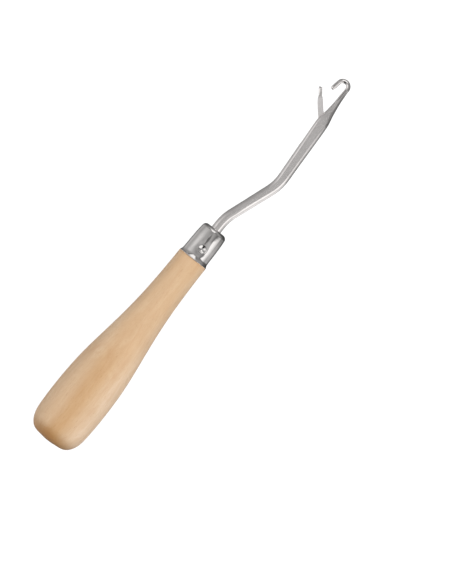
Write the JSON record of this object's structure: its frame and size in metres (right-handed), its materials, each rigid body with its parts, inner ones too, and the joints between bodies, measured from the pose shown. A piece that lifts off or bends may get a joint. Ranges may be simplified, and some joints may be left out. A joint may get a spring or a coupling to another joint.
{
  "type": "bent latch hook tool",
  "caption": "Bent latch hook: turned bulb-shaped wooden handle, staked metal ferrule and a cranked steel shank ending in a small hook with a swinging spoon-tipped latch.",
  "frame": {"origin": "centre of the small flat at the handle's butt end, on the handle's axis", "axes": "+X along the handle's axis from the butt towards the hook; the shank is bent in the XY plane and the hook and latch open towards +Y; +Z is square to that plane, on the side of the ferrule's stake mark"},
  "size_m": [0.165, 0.021, 0.021],
  "materials": {
    "handle_wood": "pale close-grained hardwood, thin satin lacquer",
    "ferrule_plate": "drawn steel, bright nickel plate with fine drawing lines",
    "shank_steel": "plated steel, finely brushed",
    "latch_steel": "stamped steel, satin",
    "rivet_steel": "ground flush"
  },
  "bodies": {
    "tool": {"handle": "handle_wood", "ferrule": "ferrule_plate", "hook_shank": "shank_steel", "latch_rivet": "rivet_steel"},
    "latch": {"latch": "latch_steel"}
  },
  "joints": [
    {"name": "latch_swing", "type": "hinge", "parent": "tool", "child": "latch", "pos_m": [0.14724, -0.00575, 0], "axis": [0, 0, 1], "range_deg": [-15, 121]}
  ]
}
